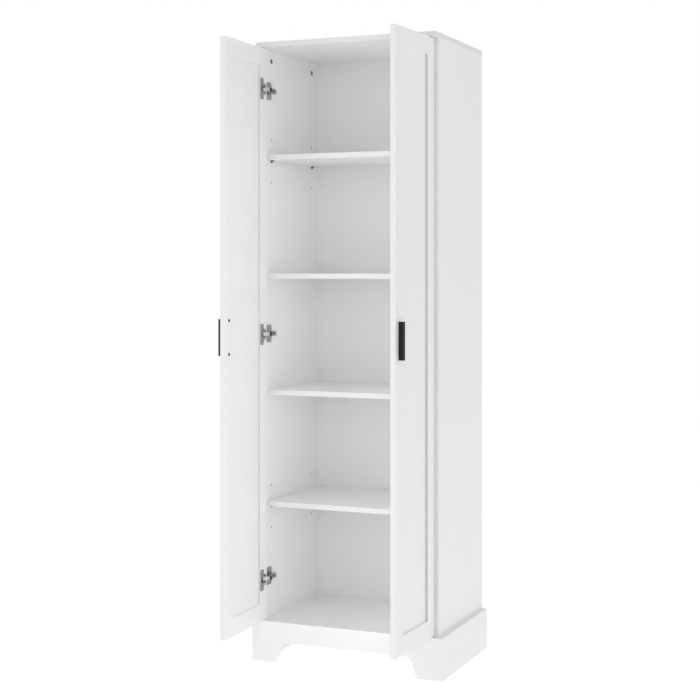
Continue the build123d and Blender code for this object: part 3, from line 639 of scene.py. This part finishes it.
nail_tree, size = fastener_tree(
    "panel_nail",
    {"Head Radius": 0.002, "Head Height": 0.0006, "Shank Radius": 0.0008, "Shank Length": 0.0176,
     "Point Length": 0.0018},
)
head_base = work_out(nail_tree, "MULTIPLY", size["Head Height"], -1.0)
shank_base = work_out(nail_tree, "SUBTRACT", head_base, size["Shank Length"])
point_base = work_out(nail_tree, "SUBTRACT", shank_base, size["Point Length"])
nail_bodies = [
    turned(nail_tree, size["Head Radius"], size["Head Radius"], head_base, size["Head Height"], 20),
    turned(nail_tree, size["Shank Radius"], size["Shank Radius"], shank_base, size["Shank Length"], 12),
    turned(nail_tree, 0.0001, size["Shank Radius"], point_base, size["Point Length"], 12),
]
stand_on_places(nail_tree, size, nail_bodies, math.pi)
place_fasteners("back_panel_nails", nail_tree, places_by_head("back_panel_nails"), bright_zinc,
                {})

cam_tree, size = fastener_tree(
    "cam_lock",
    {"Radius": 0.0074, "Height": 0.0115, "Rim": 0.0004, "Slot Width": 0.0066, "Slot Length": 0.009,
     "Cross Length": 0.0075, "Cross Width": 0.0017, "Cross Depth": 0.006},
)
base = work_out(cam_tree, "MULTIPLY", size["Height"], -1.0)
rim_base = work_out(cam_tree, "MULTIPLY", size["Rim"], -1.0)
rim_radius = work_out(cam_tree, "SUBTRACT", size["Radius"], size["Rim"])
drum_height = work_out(cam_tree, "SUBTRACT", size["Height"], size["Rim"])
slot_middle = work_out(cam_tree, "MULTIPLY", size["Height"], -0.58)
crosses = cross_cutters(cam_tree, size)
bolt_way = slab(cam_tree, work_out(cam_tree, "MULTIPLY", size["Radius"], 3.0), size["Slot Length"],
                size["Slot Width"], 0.0, 0.0, slot_middle)
cam_bodies = [
    cut_away(cam_tree, turned(cam_tree, size["Radius"], size["Radius"], base, drum_height, 40),
             crosses + [bolt_way]),
    cut_away(cam_tree, turned(cam_tree, size["Radius"], rim_radius, rim_base, size["Rim"], 40), crosses),
]
stand_on_places(cam_tree, size, cam_bodies, 0.0)
cam_places = []
for points in solids_of("cam_locks"):
    lies_across = length_of(points, across_axis) < length_of(points, upright_axis)
    way = -upright_axis
    if lies_across:
        way = -across_axis if points[0].x > 0 else across_axis
    cam_places.append((end_of(points, way), way))
place_fasteners("cam_locks", cam_tree, cam_places, dark_casting, {})

bolt_tree, size = fastener_tree(
    "cam_bolt",
    {"Head Radius": 0.0029, "Head Length": 0.003, "Neck Radius": 0.0017, "Neck Length": 0.004,
     "Shaft Radius": 0.0026, "Shaft Length": 0.0175, "Anchor Length": 0.0098,
     "Thread Radius": 0.0024, "Ridge": 0.0005, "Turns": 7.0},
)
head_base = work_out(bolt_tree, "MULTIPLY", size["Head Length"], -1.0)
neck_base = work_out(bolt_tree, "SUBTRACT", head_base, size["Neck Length"])
shaft_base = work_out(bolt_tree, "SUBTRACT", neck_base, size["Shaft Length"])
anchor_base = work_out(bolt_tree, "SUBTRACT", shaft_base, size["Anchor Length"])
bolt_bodies = [
    turned(bolt_tree, size["Head Radius"], size["Neck Radius"], head_base, size["Head Length"]),
    turned(bolt_tree, size["Neck Radius"], size["Neck Radius"], neck_base, size["Neck Length"]),
    turned(bolt_tree, size["Shaft Radius"], size["Shaft Radius"], shaft_base, size["Shaft Length"]),
    turned(bolt_tree, size["Neck Radius"], size["Shaft Radius"], anchor_base, size["Anchor Length"]),
    threaded(bolt_tree, size["Thread Radius"], size["Ridge"], size["Turns"], anchor_base,
             size["Anchor Length"]),
]
stand_on_places(bolt_tree, size, bolt_bodies, 0.0)
cam_spots = [spot for spot, _ in cam_places]
bolt_places = []
for points in solids_of("cam_bolts"):
    axis = long_axis(points)
    ends = [(end_of(points, way), way) for way in (axis, -axis)]
    bolt_places.append(min(ends, key=lambda end: min((end[0] - cam).length for cam in cam_spots)))
place_fasteners("cam_bolts", bolt_tree, bolt_places, bright_zinc, {})

dowel_tree, size = fastener_tree(
    "fluted_dowel",
    {"Radius": 0.0039, "Flute Radius": 0.0036, "Length": 0.03, "End Radius": 0.0032, "End": 0.0012},
)
foot = work_out(dowel_tree, "MULTIPLY", size["Length"], -1.0)
end_top = work_out(dowel_tree, "MULTIPLY", size["End"], -1.0)
barrel = dowel_tree.nodes.new("GeometryNodeCurvePrimitiveLine")
dowel_tree.links.new(triple(dowel_tree, 0.0, 0.0, work_out(dowel_tree, "ADD", foot, size["End"])),
                     barrel.inputs["Start"])
dowel_tree.links.new(triple(dowel_tree, 0.0, 0.0, end_top), barrel.inputs["End"])
flutes = dowel_tree.nodes.new("GeometryNodeCurveStar")
flutes.inputs["Points"].default_value = 16
dowel_tree.links.new(size["Flute Radius"], flutes.inputs["Inner Radius"])
dowel_tree.links.new(size["Radius"], flutes.inputs["Outer Radius"])
fluted = dowel_tree.nodes.new("GeometryNodeCurveToMesh")
fluted.inputs["Fill Caps"].default_value = True
dowel_tree.links.new(barrel.outputs["Curve"], fluted.inputs["Curve"])
dowel_tree.links.new(flutes.outputs["Curve"], fluted.inputs["Profile Curve"])
dowel_bodies = [
    fluted.outputs["Mesh"],
    turned(dowel_tree, size["End Radius"], size["Flute Radius"], foot, size["End"], 16),
    turned(dowel_tree, size["Flute Radius"], size["End Radius"], end_top, size["End"], 16),
]
stand_on_places(dowel_tree, size, dowel_bodies, math.pi)
place_fasteners("dowels", dowel_tree, places_by_head("dowels"), beech, {})

# ---------------------------------------------------------------------------------------------
# Doors: painted fibreboard, each with two stiles, two rails and a flat panel, sprayed as one, so
# that the lacquer softens every edge. The stiles' inner edges get a grey painted shade, a shadow
# line along the recess.
# A greyer paint for the stiles' inner edges: painted shade that darkens the door recess.
recess_painted_shade, tree, shader, place = new_finish("recess_painted_shade", 0.5)
tint(tree, shader, cloud(tree, place, 30.0), (0.54, 0.54, 0.545), (0.6, 0.6, 0.6))
relief(tree, shader, cloud(tree, place, 420.0), 0.00003)


def broad_face(node):
    """The middle and the normal of a board's largest face."""
    board = merged_copy(node)
    broad = max(board.faces, key=lambda face: face.calc_area())
    middle, normal = broad.calc_center_median(), broad.normal.copy()
    board.free()
    return middle, normal


def stile_faces(middle, outward):
    """How to tell a stile's inner edge, which gets the grey painted shade, from its other faces."""

    def pick(face):
        on_edge = abs(face.normal.dot(outward)) < 0.1
        return 1 if on_edge and face.normal.dot(middle - face.calc_center_median()) > 0 else 0

    return pick


panel_ease, frame_ease = 0.0005, 0.0009
door_out = {}
for side, along in (("left", -1.0), ("right", 1.0)):
    middle, normal = broad_face(f"{side}_door_panel")
    door_out[side] = normal * (1.0 if normal.x * along > 0 else -1.0)
    dress(f"{side}_door_panel", [satin_paint], panel_ease)
    for rail in ("top_rail", "bottom_rail"):
        dress(f"{side}_{rail}", [satin_paint], frame_ease, rings=3)
    for stile in ("hinge_stile", "lock_stile"):
        dress(f"{side}_{stile}", [satin_paint, recess_painted_shade], frame_ease,
              stile_faces(middle, normal), rings=3)

# ---------------------------------------------------------------------------------------------
# Handles: a black powder-coated bar with a wide flat head, held by two dark steel screws through
# the stile. The powder has a fine grain that shows on the faces.
black_powder, tree, shader, place = new_finish("black_powder_coat", 0.5)
tint(tree, shader, cloud(tree, place, 600.0, 3.0), (0.005, 0.005, 0.006), (0.009, 0.009, 0.011))
gloss(tree, shader, cloud(tree, place, 900.0), 0.44, 0.58)
shader.inputs["Specular IOR Level"].default_value = 0.3
relief(tree, shader, cloud(tree, place, 1600.0, 2.0), 0.00004)

black_oxide, tree, shader, place = new_finish("black_oxide_steel", 0.45, 1.0)
tint(tree, shader, cloud(tree, place, 200.0, 4.0), (0.045, 0.045, 0.05), (0.09, 0.09, 0.095))
gloss(tree, shader, cloud(tree, place, 700.0), 0.38, 0.52)
relief(tree, shader, cloud(tree, place, 1200.0), 0.00001)

pan_head = {"Head Radius": 0.0042, "Neck Radius": 0.0042, "Head Height": 0.0022, "Crown Radius": 0.0031,
            "Crown Height": 0.0008, "Core Radius": 0.0017, "Ridge": 0.00028, "Pitch": 0.0007,
            "Point Length": 0.0005, "Cross Length": 0.0052, "Cross Width": 0.0012,
            "Cross Depth": 0.0022}
for side in ("left", "right"):
    dress(f"{side}_handle", [black_powder], 0.0006, rings=3)
    drive_screws(f"{side}_handle_screws", door_out[side], pan_head, black_oxide)

# ---------------------------------------------------------------------------------------------
# Hinges: three on each door. A pressed steel plate is screwed to the side, an arm clips over its
# saddle, a link joins the arm to a drawn cup in the door, and all of it is nickel plated.
nickel, tree, shader, place = new_finish("nickel_plate", 0.3, 1.0)
tint(tree, shader, cloud(tree, place, 120.0, 4.0), (0.36, 0.355, 0.35), (0.5, 0.49, 0.48))
gloss(tree, shader, cloud(tree, place, 500.0), 0.22, 0.38)
relief(tree, shader, cloud(tree, place, 900.0), 0.00002)

pin_tree, size = fastener_tree(
    "hinge_pin", {"Radius": 0.00125, "Length": 0.0144, "End Radius": 0.001, "End": 0.0003},
)
foot = work_out(pin_tree, "MULTIPLY", size["Length"], -1.0)
end_top = work_out(pin_tree, "MULTIPLY", size["End"], -1.0)
two_ends = work_out(pin_tree, "MULTIPLY", size["End"], 2.0)
pin_bodies = [
    turned(pin_tree, size["End Radius"], size["Radius"], foot, size["End"], 24),
    turned(pin_tree, size["Radius"], size["Radius"], work_out(pin_tree, "ADD", foot, size["End"]),
           work_out(pin_tree, "SUBTRACT", size["Length"], two_ends), 24),
    turned(pin_tree, size["Radius"], size["End Radius"], end_top, size["End"], 24),
]
stand_on_places(pin_tree, size, pin_bodies, 0.0)

arm_screw = {"Head Radius": 0.0034, "Neck Radius": 0.0034, "Head Height": 0.0015, "Crown Radius": 0.003,
             "Crown Height": 0.0003, "Core Radius": 0.0017, "Ridge": 0.0003, "Pitch": 0.0008,
             "Point Length": 0.0005, "Cross Length": 0.0048, "Cross Width": 0.001,
             "Cross Depth": 0.0022}
hinge_eases = {"hinge_plates": 0.0003, "hinge_arms": 0.00025, "hinge_links": 0.00015,
               "hinge_cups": 0.0002}
for side in ("left", "right"):
    for part, ease in hinge_eases.items():
        dress(f"{side}_{part}", [nickel], ease)
    for pins in ("hinge_arm_pins", "hinge_cup_pins"):
        node = f"{side}_{pins}"
        place_fasteners(node, pin_tree, places_by_head(node, upright_axis), nickel,
                        {"Length": length_of(solids_of(node)[0], upright_axis)})
    drive_screws(f"{side}_hinge_plate_screws", across_axis, wood_screw)
    drive_screws(f"{side}_hinge_arm_screws", across_axis, arm_screw, black_oxide)
    drive_screws(f"{side}_hinge_cup_screws", door_out[side], wood_screw)

# ---------------------------------------------------------------------------------------------
# Floor: a plain pale sheet, wide enough to run out of sight, with a glow of its own that keeps it
# as white as the sky and leaves only a faint shadow under the cabinet.
floor_finish, tree, shader, place = new_finish("studio_floor", 0.9)
shader.inputs["Base Color"].default_value = (0.2, 0.2, 0.2, 1.0)
shader.inputs["Specular IOR Level"].default_value = 0.0
shader.inputs["Emission Color"].default_value = (1.0, 1.0, 1.0, 1.0)
floor_glow = 0.88
shader.inputs["Emission Strength"].default_value = floor_glow
floor_build = bmesh.new()
bmesh.ops.create_circle(floor_build, cap_ends=True, radius=9.0, segments=96)
floor_mesh = bpy.data.meshes.new("studio_floor")
floor_build.to_mesh(floor_mesh)
floor_build.free()
floor_mesh.materials.append(floor_finish)
floor = bpy.data.objects.new("studio_floor", floor_mesh)
bpy.context.scene.collection.objects.link(floor)
